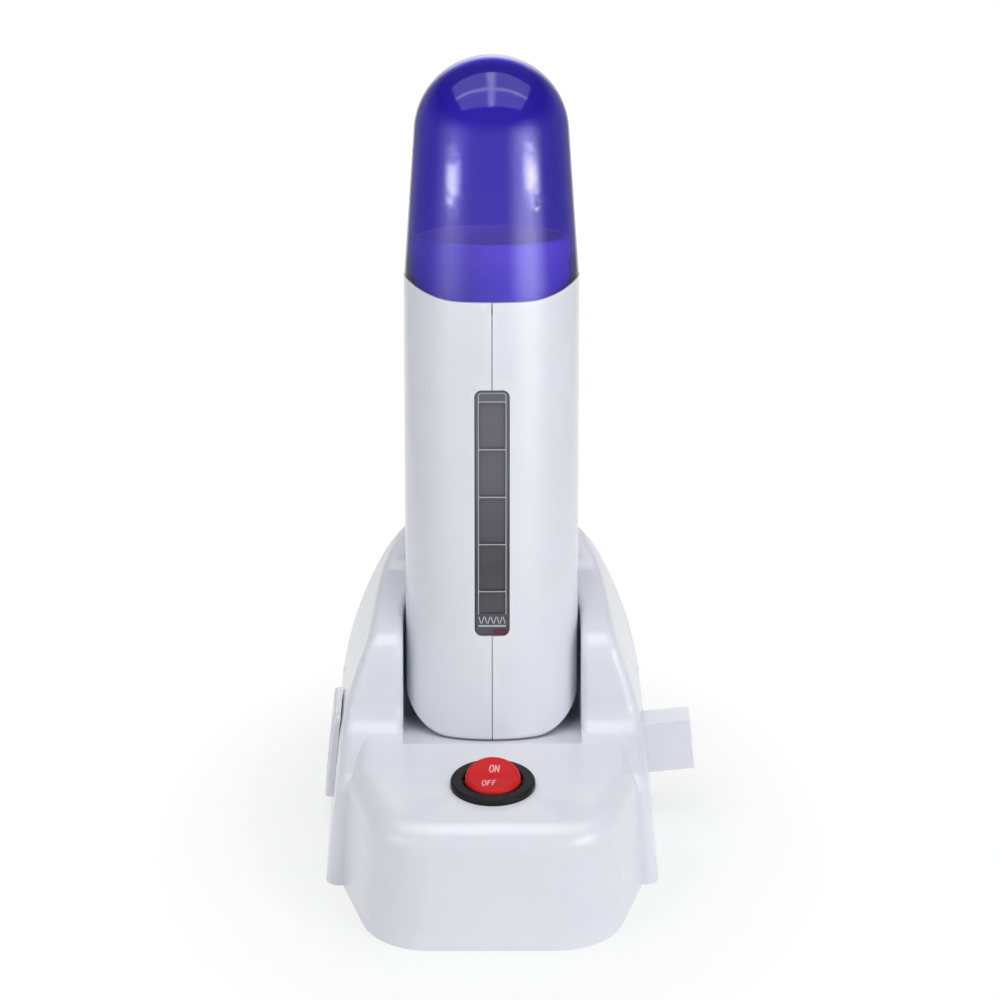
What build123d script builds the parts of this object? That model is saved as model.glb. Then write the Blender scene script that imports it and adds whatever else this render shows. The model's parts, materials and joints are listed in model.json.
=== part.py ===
from build123d import *
import math
import os

# A roll-on wax heater: a hand-held cartridge warmer with a push-on cap, standing in a mains base with a
# rocker switch. X runs to the right, Y to the back and Z up. The origin is the middle of the rest face.

os.makedirs("parts", exist_ok=True)

# ---------------------------------------------------------------- driving dimensions, millimetres, degrees

# Base housing
WALL = 2.4  # wall of the base mouldings
DRAFT = 6.0  # lean of the hump's side walls
DECK_Z = 36.0  # height of the switch deck
NOSE_DRAFT = 3.0  # lean of the front body's walls
DECK_EDGE_R = 7.0  # rounding round the deck
NOSE_Y = -60.3  # front of the base at the rest face
NOSE_HALF_W = 31.2  # the front and the slanted sides would meet here without their rounding
NOSE_CORNER_R = 19.0
BODY_HALF_W = 41.2  # front body, where the wings begin
BODY_REAR_Y = 12.0  # the front body ends inside the hump
WING_FRONT_Y = -26.5
REAR_Y = 47.5
HUMP_EDGE_R = 3.6  # rounding along the arms and wings
REAR_EDGE_R = 3.0
CROWN_TOP = 85.7  # top of the back rest
CROWN_R = 34.6
CROWN_SWEEP = 62.0
SHOULDER_R = 114.0
# Side view of the hump: wing top, foot of the arms, front of the arms, land, back rest (Y, Z)
WING_TOP = (WING_FRONT_Y, 32.8)
ARM_FOOT = (-1.2, 36.6)
ARM_TOP = (2.6, 60.0)
LAND_REAR = (35.5, 68.4)
REST_TOP = (40.5, 92.0)
WING_TOP_R = 5.0
ARM_FOOT_R = 8.0
ARM_TOP_R = 8.0
LAND_REAR_R = 6.0
BELOW = -10.0  # the hump's outline runs on below the rest face before it is cut off there

# Handpiece: an oval column leaning back in the base
LEAN = 12.0
GRIP_Y = 10.0
GRIP_Z = 31.9
GRIP_HALF_W = 24.0
OVAL = 20.0 / 24.0  # depth over width of every section
SHELL_WALL = 2.2
GRIP_CORNER_R = 12.9  # rounding of the lower corners, seen from the front
GRIP_CORNER_SPREAD = 0.25  # the corner's outline starts this far outside the oval
GRIP_EDGE_R = 1.2
SEAM_S = 122.45  # joint of cap and shells at the front, along the column
SEAM_FLAT = 9.0  # half of the straight stretch of that joint
SEAM_R = 26.0
SEAM_GAP = 0.25
PARTING_GROOVE_W = 0.35
PARTING_GROOVE_D = 0.8

# Cap
DOME_R = 21.1
DOME_S = 165.8  # centre of the dome
CAP_TAPER = 4.0
CAP_WALL = 1.6
CAP_SLIDE = 0.3  # between the cap and the neck

# Neck
NECK_HALF_W = 21.5
NECK_WALL = 1.7
NECK_FOOT_S = 104.0
NECK_TOP_S = 137.8

# Window
WINDOW_W = 9.6
WINDOW_LOW_S = 29.8
WINDOW_HIGH_S = 98.6
WINDOW_R = 2.0
LENS_GAP = 0.15
LENS_FRONT = 19.3  # faces of the lens, in front of the column's axis
LENS_FLANGE = 17.3
LENS_BACK = 16.3
PANE_W = 7.4
PANE_DEPTH = 0.6
RIB_W = 0.7
RIBS_S = [95.3, 82.05, 68.8, 55.55, 42.3, 35.7]  # ribs between the window's panes, top to bottom

# Pocket in the base and the dock in its floor
POCKET_GAP = 0.7
POCKET_EDGE_R = 2.0  # rounding of the arms along the pocket
FLOOR_GAP = 0.4
DOCK_W = 22.0
DOCK_D = 10.0
DOCK_TOP_S = 5.0
RECESS_S = 6.5  # depth of the recess under the handpiece
RECESS_GAP = 0.7
DOCK_PIN_R = 1.5
DOCK_PIN_X = 6.5
DOCK_PIN_LOW_S = -11.0
SLEEVE_BORE_R = 1.58
SLEEVE_R = 2.4

# Rocker switch
SWITCH_Y = -34.0
BEZEL_R = 11.5
BEZEL_T = 1.8
BEZEL_BORE_R = 8.1
BARREL_R = 9.9
BARREL_BOTTOM_Z = 21.0
BARREL_CAVITY_R = 8.7
PANEL_HOLE_R = 10.05
ROCKER_R = 7.5
ROCKER_TILT = 12.0  # each way from level
ROCKER_PIVOT_Z = 36.4
ROCKER_END_H = 3.8  # ends of the rocker above its pivot
ROCKER_DIP_H = 2.8  # middle of the rocker above its pivot
ROCKER_EDGE_R = 1.2
ROCKER_PIN_R = 0.8
ROCKER_BORE_R = 0.86
TERMINAL_LOW_Z = 13.5
ARM_TILT = 8.0  # each way from level
ARM_BEND = 12.5  # each half of the arm rises towards its end
ARM_PIVOT_Z = 26.84
ARM_LENGTH = 13.0
ARM_W = 4.8
ARM_T = 0.5
ARM_SEAT = 0.35  # underside of the arm above its pivot
TERMINAL_W = 4.8
TERMINAL_T = 0.8
SPRING_COILS = 4
SPRING_H = 2.2
SPRING_WIRE_R = 0.16

# Side connectors
LINK_Y = 15.0
LINK_Z = 22.0
STUB_W = 8.0
STUB_H = 16.0
STUB_OUT = 13.0
STUB_WALL = 1.3
LINK_PIN_R = 1.2
LINK_PIN_OFFSET = 4.3
PLATE_W = 20.0
PLATE_H = 27.0
PLATE_OUT = 2.2
SOCKET_GAP = 0.3
SOCKET_WALL = 1.4
SOCKET_DEPTH = 11.0

# Base plate and its fasteners
PLATE_LOW_Z = 0.8
PLATE_TOP_Z = 3.0
PLATE_GAP = 0.9
BOSS_R = 3.5
PILOT_R = 1.45
SCREW_SHANK_R = 1.4
SCREW_HEAD_R = 2.8
FRONT_BOSSES = [(-26.0, -40.0), (26.0, -40.0)]
REAR_BOSSES = [(-39.0, 38.0), (39.0, 38.0)]
PADS = [(-16.0, -50.0), (16.0, -50.0), (-29.0, 36.0), (29.0, 36.0)]
PAD_R = 4.5
PAD_TOP_Z = 1.8

LEAD_R = 0.9
LEAD_BEND_R = 4.5

# Heating well, with the wax cartridge's space inside, and what lies against it
WELL_HALF_W = 19.4
WELL_HALF_D = 14.2
WELL_SHIFT = -1.2  # the well sits this far in front of the column's axis
WELL_WALL = 1.0
WELL_LOW_S = 35.0
WELL_TOP_S = 118.0
HEATER_W = 14.0
HEATER_LOW_S = 42.0
HEATER_H = 40.0
HEATER_T = 2.0
SADDLE_T = 2.4
CLIP_T = 0.5
SENSOR_X = 9.8
SENSOR_BACK = 11.25
SENSOR_SLOPE = 21.8  # slope of the well's back where the thermostat and the fuse lie
SENSOR_S = 76.0
THERMOSTAT_OFF = 1.95
FUSE_OFF = 1.75

# Inside the handpiece's lower end
SHELL_SCREW_S = 10.5
SHELL_SCREW_BACK = 12.4
SHELL_SCREW_HEAD_X = 13.0
BOARD_DEPTH = 10.5
BOARD_T = 1.6
LAMP_X = 2.0
LAMP_S = 30.4

# ---------------------------------------------------------------- planes

lean_sin = math.sin(math.radians(LEAN))
lean_cos = math.cos(math.radians(LEAN))
grip_foot = (0, GRIP_Y, GRIP_Z)
# Across the column, Z along it
grip = Plane(origin=grip_foot, x_dir=(1, 0, 0), z_dir=(0, lean_sin, lean_cos))
# Facing the front, Y along the column
grip_front = Plane(origin=grip_foot, x_dir=(1, 0, 0), z_dir=(0, -lean_cos, lean_sin))
# Facing right, Y along the column and X to the back
grip_side = Plane(origin=grip_foot, x_dir=(0, lean_cos, -lean_sin), z_dir=(1, 0, 0))

draft_sin = math.sin(math.radians(DRAFT))
draft_cos = math.cos(math.radians(DRAFT))
shoulder_turn = 90 - DRAFT - CROWN_SWEEP
crown_end_x = CROWN_R * math.sin(math.radians(CROWN_SWEEP))
crown_end_z = CROWN_TOP - CROWN_R * (1 - math.cos(math.radians(CROWN_SWEEP)))
side_top_x = crown_end_x + SHOULDER_R * (draft_cos - math.sin(math.radians(CROWN_SWEEP)))
side_top_z = crown_end_z - SHOULDER_R * (math.cos(math.radians(CROWN_SWEEP)) - draft_sin)
foot_half_w = side_top_x + side_top_z * math.tan(math.radians(DRAFT))
link_x = foot_half_w - LINK_Z * math.tan(math.radians(DRAFT))
# On the drafted walls, X to the back and Y up the wall, Z outwards
inlet_wall = Plane(origin=(link_x, LINK_Y, LINK_Z), x_dir=(0, 1, 0), z_dir=(draft_cos, 0, draft_sin))
socket_wall = Plane(origin=(-link_x, LINK_Y, LINK_Z), x_dir=(0, -1, 0), z_dir=(-draft_cos, 0, draft_sin))


def save(part, name):
    """Label a finished piece and write it as its own file."""
    part.label = name
    export_step(part, f"parts/{name}.step")


# ---------------------------------------------------------------- base housing

with BuildSketch() as front_plan:
    with BuildLine():
        Polyline(
            (-BODY_HALF_W, BODY_REAR_Y),
            (-BODY_HALF_W, WING_FRONT_Y),
            (-NOSE_HALF_W, NOSE_Y),
            (NOSE_HALF_W, NOSE_Y),
            (BODY_HALF_W, WING_FRONT_Y),
            (BODY_HALF_W, BODY_REAR_Y),
            close=True,
        )
    make_face()
    fillet(front_plan.vertices().group_by(Axis.Y)[0], NOSE_CORNER_R)

with BuildSketch() as hump_arch:
    with BuildLine():
        crown = JernArc((0, CROWN_TOP), (1, 0), CROWN_R, -CROWN_SWEEP)
        shoulder = JernArc(crown @ 1, crown % 1, SHOULDER_R, -shoulder_turn)
        foot = (foot_half_w - BELOW * math.tan(math.radians(DRAFT)), BELOW)
        Polyline(shoulder @ 1, foot, (0, BELOW), (0, CROWN_TOP))
    make_face()
    mirror(about=Plane.YZ)

with BuildSketch() as hump_profile:
    with BuildLine() as hump_line:
        Polyline(
            (WING_FRONT_Y, BELOW),
            WING_TOP,
            ARM_FOOT,
            ARM_TOP,
            LAND_REAR,
            REST_TOP,
            (REAR_Y, REST_TOP[1]),
            (REAR_Y, BELOW),
            close=True,
        )
    make_face()
    rounded = (
        (WING_TOP, WING_TOP_R),
        (ARM_FOOT, ARM_FOOT_R),
        (ARM_TOP, ARM_TOP_R),
        (LAND_REAR, LAND_REAR_R),
    )
    for corner, radius in rounded:
        fillet(hump_profile.vertices().sort_by_distance((*corner, 0))[0], radius)


def front_block(inset):
    """The front body, or with an inset the hollow inside it."""
    with BuildPart() as block:
        with BuildSketch():
            add(front_plan.sketch)
            if inset:
                offset(amount=-inset, kind=Kind.INTERSECTION)
        extrude(amount=DECK_Z - inset, taper=NOSE_DRAFT)
        deck_edges = block.faces().sort_by(Axis.Z)[-1].edges().sort_by(Axis.Y)[:-1]
        fillet(deck_edges, DECK_EDGE_R - inset)
    return block.part


def hump_block(inset):
    """The wings, arms and back rest, or with an inset the hollow inside them."""
    with BuildPart() as block:
        with BuildSketch(Plane.XZ.offset(-WING_FRONT_Y)):
            add(hump_arch.sketch)
            if inset:
                offset(amount=-inset, kind=Kind.INTERSECTION)
        extrude(amount=WING_FRONT_Y - REAR_Y)
        with BuildSketch(Plane.YZ):
            add(hump_profile.sketch)
            if inset:
                offset(amount=-inset, kind=Kind.INTERSECTION)
        extrude(amount=2 * BODY_HALF_W, both=True, mode=Mode.INTERSECT)
        if not inset:
            boxes = [(edge, edge.bounding_box()) for edge in block.edges()]
            ridge = [edge for edge, box in boxes if box.size.X > 0.01 and box.size.Y > 0.01]
            front = [edge for edge, box in boxes if box.max.Y < WING_FRONT_Y + 0.01 and box.size.Z > 0.1]
            fillet(ridge + front, HUMP_EDGE_R)
            rear_face = block.faces().sort_by(Axis.Y)[-1]
            fillet([edge for edge in rear_face.edges() if edge.bounding_box().max.Z > 0], REAR_EDGE_R)
    return block.part


def pocket_block(outset, low_s, reach):
    """The space for the leaning handpiece, open to the front, grown by a wall when there is an outset."""
    with BuildPart() as block:
        with BuildSketch(grip.offset(low_s)):
            Ellipse(GRIP_HALF_W + POCKET_GAP + outset, GRIP_HALF_W * OVAL + POCKET_GAP + outset)
            width = 2 * (GRIP_HALF_W + POCKET_GAP + outset)
            Rectangle(width, reach, align=(Align.CENTER, Align.MAX))
        extrude(amount=80)
    return block.part


outer_front = front_block(0)
inner_front = front_block(WALL)
outer_hump = hump_block(0)
inner_hump = hump_block(WALL)
pocket = pocket_block(0, -FLOOR_GAP, 60)
pocket_walls = pocket_block(WALL, -FLOOR_GAP - WALL, 60)

with BuildPart() as core:
    add(inner_front)
    add(inner_hump)
    add(pocket_walls, mode=Mode.SUBTRACT)

with BuildPart() as base_housing:
    add(outer_hump)
    split(bisect_by=Plane.XY, keep=Keep.TOP)
    add(outer_front)
    add(core.part, mode=Mode.SUBTRACT)
    with BuildSketch(Plane.XY.offset(PLATE_TOP_Z)):
        with Locations(*FRONT_BOSSES, *REAR_BOSSES):
            Circle(BOSS_R)
    extrude(amount=DECK_Z - WALL - PLATE_TOP_Z)
    add(pocket, mode=Mode.SUBTRACT)
    # The arms' edges along the pocket
    pocket_side_x = GRIP_HALF_W + POCKET_GAP
    arm_edges = []
    for edge in base_housing.edges():
        box = edge.bounding_box()
        on_pocket_side = box.size.X < 0.01 and abs(abs(box.max.X) - pocket_side_x) < 0.01
        if on_pocket_side and box.max.Z > DECK_Z + 0.5 and box.min.Y < GRIP_Y - 1:
            arm_edges.append(edge)
    fillet(arm_edges, POCKET_EDGE_R)
    with BuildSketch(Plane.XY.offset(PLATE_TOP_Z)):
        with Locations(*FRONT_BOSSES, *REAR_BOSSES):
            Circle(PILOT_R)
    extrude(amount=12, mode=Mode.SUBTRACT)
    with BuildSketch(Plane.XY.offset(DECK_Z - 2 * WALL)):
        with Locations((0, SWITCH_Y)):
            Circle(PANEL_HOLE_R)
    extrude(amount=4 * WALL, mode=Mode.SUBTRACT)
    with BuildSketch(grip.offset(-FLOOR_GAP - 2 * WALL)):
        Rectangle(DOCK_W + 0.4, DOCK_D + 0.4)
    extrude(amount=3 * WALL, mode=Mode.SUBTRACT)
    with BuildSketch(inlet_wall.offset(-2 * WALL)):
        Rectangle(STUB_W + 0.2, STUB_H + 0.2)
    extrude(amount=4 * WALL, mode=Mode.SUBTRACT)
    with BuildSketch(socket_wall.offset(-2 * WALL)):
        Rectangle(STUB_W + 2 * SOCKET_WALL + 1.0, STUB_H + 2 * SOCKET_WALL + 1.0)
    extrude(amount=4 * WALL, mode=Mode.SUBTRACT)
save(base_housing.part, "base_housing")

# ---------------------------------------------------------------- base plate, its screws and pads

with BuildPart() as base_plate:
    with BuildSketch(Plane.XY.offset(PLATE_LOW_Z)):
        add(front_plan.sketch)
        with Locations((0, (WING_FRONT_Y + REAR_Y) / 2)):
            Rectangle(2 * foot_half_w, REAR_Y - WING_FRONT_Y)
        offset(amount=-WALL - PLATE_GAP, kind=Kind.INTERSECTION)
    extrude(amount=PLATE_TOP_Z - PLATE_LOW_Z)
    with Locations(Plane.XY.offset(PLATE_LOW_Z)):
        with Locations(*FRONT_BOSSES, *REAR_BOSSES):
            Cylinder(SCREW_SHANK_R + 0.2, 10, mode=Mode.SUBTRACT)
            Cone(SCREW_HEAD_R + 0.1, SCREW_SHANK_R, 1.4, align=(Align.CENTER, Align.CENTER, Align.MIN),
                 mode=Mode.SUBTRACT)
        with Locations(*PADS):
            Cylinder(PAD_R + 0.1, 2 * (PAD_TOP_Z - PLATE_LOW_Z), mode=Mode.SUBTRACT)
save(base_plate.part, "base_plate")

with BuildPart() as base_plate_screws:
    with BuildSketch(Plane.XY.offset(PLATE_LOW_Z + 1.0)):
        with Locations(*FRONT_BOSSES, *REAR_BOSSES):
            Circle(SCREW_SHANK_R)
    extrude(amount=9)
    with Locations(Plane.XY.offset(PLATE_LOW_Z)):
        with Locations(*FRONT_BOSSES, *REAR_BOSSES):
            Cone(SCREW_HEAD_R, SCREW_SHANK_R, 1.35, align=(Align.CENTER, Align.CENTER, Align.MIN))
            Box(3.4, 0.7, 1.2, mode=Mode.SUBTRACT)
            Box(0.7, 3.4, 1.2, mode=Mode.SUBTRACT)
save(base_plate_screws.part, "base_plate_screws")

with BuildPart() as anti_slip_pads:
    with BuildSketch():
        with Locations(*PADS):
            Circle(PAD_R)
    extrude(amount=PAD_TOP_Z)
    fillet(anti_slip_pads.edges().group_by(Axis.Z)[0], 0.3)
save(anti_slip_pads.part, "anti_slip_pads")

# ---------------------------------------------------------------- rocker switch

terminal_y = SWITCH_Y - 5.4
barrel_floor_top = BARREL_BOTTOM_Z + 2

with BuildPart() as switch_body:
    with BuildSketch(Plane.XY.offset(DECK_Z)):
        with Locations((0, SWITCH_Y)):
            Circle(BEZEL_R)
    extrude(amount=BEZEL_T)
    fillet(switch_body.edges().group_by(Axis.Z)[-1], 0.8)
    with BuildSketch(Plane.XY.offset(BARREL_BOTTOM_Z)):
        with Locations((0, SWITCH_Y)):
            Circle(BARREL_R)
    extrude(amount=DECK_Z - BARREL_BOTTOM_Z)
    # Snap tabs under the deck
    with BuildSketch(Plane.XY.offset(DECK_Z - WALL - 3.3)):
        with Locations((0, SWITCH_Y)):
            Rectangle(2 * BARREL_R + 2, 5)
    extrude(amount=3)
    with BuildSketch(Plane.XY.offset(barrel_floor_top)):
        with Locations((0, SWITCH_Y)):
            Circle(BARREL_CAVITY_R)
    extrude(amount=DECK_Z - barrel_floor_top - 0.2, mode=Mode.SUBTRACT)
    with BuildSketch(Plane.XY.offset(DECK_Z - 1)):
        with Locations((0, SWITCH_Y)):
            Circle(BEZEL_BORE_R)
    extrude(amount=BEZEL_T + 2, mode=Mode.SUBTRACT)
    mouth = switch_body.faces().sort_by(Axis.Z)[-1].edges().sort_by(SortBy.RADIUS)[0]
    chamfer(mouth, 0.5)
    # Seats of the pivot pin
    with BuildSketch(Plane.YZ.offset(-9.3)):
        with Locations((SWITCH_Y, ROCKER_PIVOT_Z)):
            Circle(ROCKER_PIN_R)
    extrude(amount=18.6, mode=Mode.SUBTRACT)
    # Slots of the two terminals
    with BuildSketch(Plane.XY.offset(BARREL_BOTTOM_Z - 1)):
        with Locations((0, SWITCH_Y), (0, terminal_y)):
            Rectangle(4.8, 0.8)
    extrude(amount=4, mode=Mode.SUBTRACT)
save(switch_body.part, "switch_body")

with BuildPart() as rocker_pin:
    with BuildSketch(Plane.YZ.offset(-9.2)):
        with Locations((SWITCH_Y, ROCKER_PIVOT_Z)):
            Circle(ROCKER_PIN_R)
    extrude(amount=18.4)
save(rocker_pin.part, "rocker_pin")

# The OFF half is down: the rocker's own up direction leans to the front
tilt_sin = math.sin(math.radians(ROCKER_TILT))
tilt_cos = math.cos(math.radians(ROCKER_TILT))
rocker_pivot = (0, SWITCH_Y, ROCKER_PIVOT_Z)
rocker_plane = Plane(origin=rocker_pivot, x_dir=(1, 0, 0), z_dir=(0, -tilt_sin, tilt_cos))
rocker_side = Plane(origin=rocker_pivot, x_dir=(0, tilt_cos, tilt_sin), z_dir=(1, 0, 0))

with BuildPart() as rocker:
    with BuildSketch(rocker_plane.offset(-3)):
        Circle(ROCKER_R)
    extrude(amount=ROCKER_END_H + 3)
    with BuildSketch(rocker_side) as rocker_top:
        with BuildLine():
            Polyline(
                (-ROCKER_R - 1, -4),
                (-ROCKER_R - 1, ROCKER_END_H),
                (-ROCKER_R, ROCKER_END_H),
                (0, ROCKER_DIP_H),
                (ROCKER_R, ROCKER_END_H),
                (ROCKER_R + 1, ROCKER_END_H),
                (ROCKER_R + 1, -4),
                close=True,
            )
        make_face()
        fillet(rocker_top.vertices().sort_by_distance((0, ROCKER_DIP_H, 0))[0], 14)
    extrude(amount=ROCKER_R + 1, both=True, mode=Mode.INTERSECT)
    curved_edges = [edge for edge in rocker.edges() if edge.geom_type != GeomType.LINE]
    fillet([edge for edge in curved_edges if edge.center().Z > ROCKER_PIVOT_Z], ROCKER_EDGE_R)
    # Hollow underside with the post that carries the plunger
    with BuildSketch(rocker_plane.offset(-3)):
        Circle(ROCKER_R - 1.4)
        Rectangle(2 * ROCKER_R, 3.6, mode=Mode.SUBTRACT)
    extrude(amount=3.6, mode=Mode.SUBTRACT)
    with BuildSketch(rocker_plane.offset(-6.2)):
        Circle(2.4)
    extrude(amount=4)
    with BuildSketch(rocker_side.offset(-ROCKER_R - 1)):
        Circle(ROCKER_BORE_R)
    extrude(amount=2 * ROCKER_R + 2, mode=Mode.SUBTRACT)
    with BuildSketch(rocker_plane.offset(-6.2)):
        Circle(1.5)
    extrude(amount=4.6, mode=Mode.SUBTRACT)
save(rocker.part, "rocker")

with BuildPart() as rocker_plunger:
    with BuildSketch(rocker_plane.offset(-7.4)):
        Circle(1.4)
    extrude(amount=3)
    with Locations(rocker_plane.offset(-7.4)):
        Sphere(1.2)
save(rocker_plunger.part, "rocker_plunger")

with BuildPart() as upright_spring:
    with BuildLine() as spring_path:
        Helix(pitch=SPRING_H / SPRING_COILS, height=SPRING_H, radius=1.1)
    with BuildSketch(Plane(origin=spring_path.line @ 0, z_dir=spring_path.line % 0)):
        Circle(SPRING_WIRE_R)
    sweep(is_frenet=True)
save(rocker_plane.offset(-4.1).location * upright_spring.part, "rocker_spring")

# The contact arm lies the other way, its rear end down
arm_sin = math.sin(math.radians(ARM_TILT))
arm_cos = math.cos(math.radians(ARM_TILT))
arm_pivot = (0, SWITCH_Y, ARM_PIVOT_Z)
arm_side = Plane(origin=arm_pivot, x_dir=(0, arm_cos, -arm_sin), z_dir=(1, 0, 0))

arm_half = ARM_LENGTH / 2
arm_rise = math.tan(math.radians(ARM_BEND))
arm_end_low = ARM_SEAT + arm_half * arm_rise

with BuildPart() as contact_arm:
    with BuildSketch(arm_side):
        with BuildLine():
            Polyline(
                (-arm_half, arm_end_low),
                (0, ARM_SEAT),
                (arm_half, arm_end_low),
                (arm_half, arm_end_low + ARM_T),
                (0, ARM_SEAT + ARM_T),
                (-arm_half, arm_end_low + ARM_T),
                close=True,
            )
        make_face()
        # Contact pad under the front end
        with Locations(Location((-5.4, ARM_SEAT - 0.1 + 5.4 * arm_rise), -ARM_BEND)):
            Rectangle(2.2, 0.5)
    extrude(amount=ARM_W / 2, both=True)
save(contact_arm.part, "contact_arm")

with BuildPart() as switch_common_terminal:
    with BuildSketch(Plane.XZ.offset(-SWITCH_Y - TERMINAL_T / 2)):
        with Locations((0, TERMINAL_LOW_Z)):
            Rectangle(TERMINAL_W, ARM_PIVOT_Z + 0.3 - TERMINAL_LOW_Z, align=(Align.CENTER, Align.MIN))
        with Locations((0, 16.5)):
            Circle(0.9, mode=Mode.SUBTRACT)
    extrude(amount=TERMINAL_T)
    # Knife edge that the arm tilts on
    fillet(switch_common_terminal.edges().filter_by(Axis.X).group_by(Axis.Z)[-1], 0.35)
save(switch_common_terminal.part, "switch_common_terminal")

with BuildPart() as switch_load_terminal:
    with BuildSketch(Plane.XZ.offset(-terminal_y - TERMINAL_T / 2)):
        with Locations((0, TERMINAL_LOW_Z)):
            Rectangle(TERMINAL_W, 12.6, align=(Align.CENTER, Align.MIN))
        with Locations((0, 16.5)):
            Circle(0.9, mode=Mode.SUBTRACT)
    extrude(amount=TERMINAL_T)
    with Locations((0, terminal_y, 26.5)):
        Cylinder(1.2, 0.9)
save(switch_load_terminal.part, "switch_load_terminal")

# ---------------------------------------------------------------- dock in the pocket's floor

with BuildPart() as dock_block:
    with BuildSketch(grip.offset(-8)):
        RectangleRounded(DOCK_W, DOCK_D, 2)
    extrude(amount=DOCK_TOP_S + 8)
    fillet(dock_block.faces().sort_by(Axis((0, 0, 0), grip.z_dir))[-1].edges(), 0.8)
    with BuildSketch(grip.offset(-FLOOR_GAP - WALL - 1.8)):
        Rectangle(DOCK_W + 4, DOCK_D + 4)
    extrude(amount=1.8)
    with BuildSketch(grip.offset(-9)):
        with Locations((-DOCK_PIN_X, 0), (DOCK_PIN_X, 0)):
            Circle(DOCK_PIN_R)
    extrude(amount=20, mode=Mode.SUBTRACT)
save(dock_block.part, "dock_block")

with BuildPart() as dock_pins:
    with BuildSketch(grip.offset(DOCK_PIN_LOW_S)):
        with Locations((-DOCK_PIN_X, 0), (DOCK_PIN_X, 0)):
            Circle(DOCK_PIN_R)
    extrude(amount=22.5)
    fillet(dock_pins.edges().group_by(Axis((0, 0, 0), grip.z_dir))[-1], 0.6)
save(dock_pins.part, "dock_pins")

# ---------------------------------------------------------------- side connectors

with BuildPart() as inlet_shroud:
    with BuildSketch(inlet_wall.offset(-WALL - 3.5)):
        Rectangle(STUB_W, STUB_H)
    extrude(amount=STUB_OUT + WALL + 3.5)
    stub_edges = inlet_shroud.edges().filter_by(Axis(inlet_wall.origin, inlet_wall.z_dir))
    fillet(stub_edges, 0.6)
    with BuildSketch(inlet_wall.offset(-WALL - 1.8)):
        Rectangle(STUB_W + 3, STUB_H + 3)
    extrude(amount=1.6)
    with BuildSketch(inlet_wall.offset(1.0)):
        Rectangle(STUB_W - 2 * STUB_WALL, STUB_H - 2 * STUB_WALL)
    extrude(amount=STUB_OUT, mode=Mode.SUBTRACT)
    with BuildSketch(inlet_wall.offset(-WALL - 4)):
        with Locations((0, -LINK_PIN_OFFSET), (0, LINK_PIN_OFFSET)):
            Circle(LINK_PIN_R)
    extrude(amount=WALL + 8, mode=Mode.SUBTRACT)
save(inlet_shroud.part, "inlet_shroud")

with BuildPart() as inlet_pins:
    with BuildSketch(inlet_wall.offset(-10)):
        with Locations((0, -LINK_PIN_OFFSET), (0, LINK_PIN_OFFSET)):
            Circle(LINK_PIN_R)
    extrude(amount=19.5)
    fillet(inlet_pins.edges().group_by(Axis((0, 0, 0), inlet_wall.z_dir))[-1], 0.6)
save(inlet_pins.part, "inlet_pins")

well_w = STUB_W + 2 * SOCKET_GAP
well_h = STUB_H + 2 * SOCKET_GAP

with BuildPart() as link_socket:
    with BuildSketch(socket_wall.offset(0.05)):
        RectangleRounded(PLATE_W, PLATE_H, 3)
    extrude(amount=PLATE_OUT - 0.05)
    fillet(link_socket.faces().sort_by(Axis((0, 0, 0), socket_wall.z_dir))[-1].edges(), 1.2)
    with BuildSketch(socket_wall.offset(-SOCKET_DEPTH - 1.5)):
        Rectangle(well_w + 2 * SOCKET_WALL, well_h + 2 * SOCKET_WALL)
    extrude(amount=SOCKET_DEPTH + 2.5)
    with BuildSketch(socket_wall.offset(-SOCKET_DEPTH)):
        Rectangle(well_w, well_h)
        Rectangle(STUB_W - 2 * STUB_WALL - 0.8, STUB_H - 2 * STUB_WALL - 0.8, mode=Mode.SUBTRACT)
    extrude(amount=SOCKET_DEPTH + 5, mode=Mode.SUBTRACT)
    with BuildSketch(socket_wall.offset(0.2)):
        Rectangle(well_w, well_h)
    extrude(amount=5, mode=Mode.SUBTRACT)
    with BuildSketch(socket_wall.offset(-SOCKET_DEPTH - 3)):
        with Locations((0, -LINK_PIN_OFFSET), (0, LINK_PIN_OFFSET)):
            Circle(1.9)
    extrude(amount=SOCKET_DEPTH + 5, mode=Mode.SUBTRACT)
save(link_socket.part, "link_socket")

with BuildPart() as link_contacts:
    with BuildSketch(socket_wall.offset(-13.5)):
        with Locations((0, -LINK_PIN_OFFSET), (0, LINK_PIN_OFFSET)):
            Circle(1.9)
            Circle(LINK_PIN_R + 0.08, mode=Mode.SUBTRACT)
    extrude(amount=13.5)
save(link_contacts.part, "link_contacts")

# ---------------------------------------------------------------- leads in the base


def lead(points):
    """One insulated lead along straight runs joined by bends."""
    with BuildPart() as wire:
        with BuildLine() as route:
            FilletPolyline(*points, radius=LEAD_BEND_R)
        with BuildSketch(Plane(origin=route.line @ 0, z_dir=route.line % 0)):
            Circle(LEAD_R)
        sweep()
    return wire.part


def on_inlet(up, out):
    return tuple(inlet_wall.origin + inlet_wall.y_dir * up + inlet_wall.z_dir * out)


def on_socket(up, out):
    return tuple(socket_wall.origin + socket_wall.y_dir * up + socket_wall.z_dir * out)


def on_grip(right, back, along):
    across = grip.x_dir * right + grip.y_dir * back
    return tuple(grip.origin + across + grip.z_dir * along)


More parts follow.
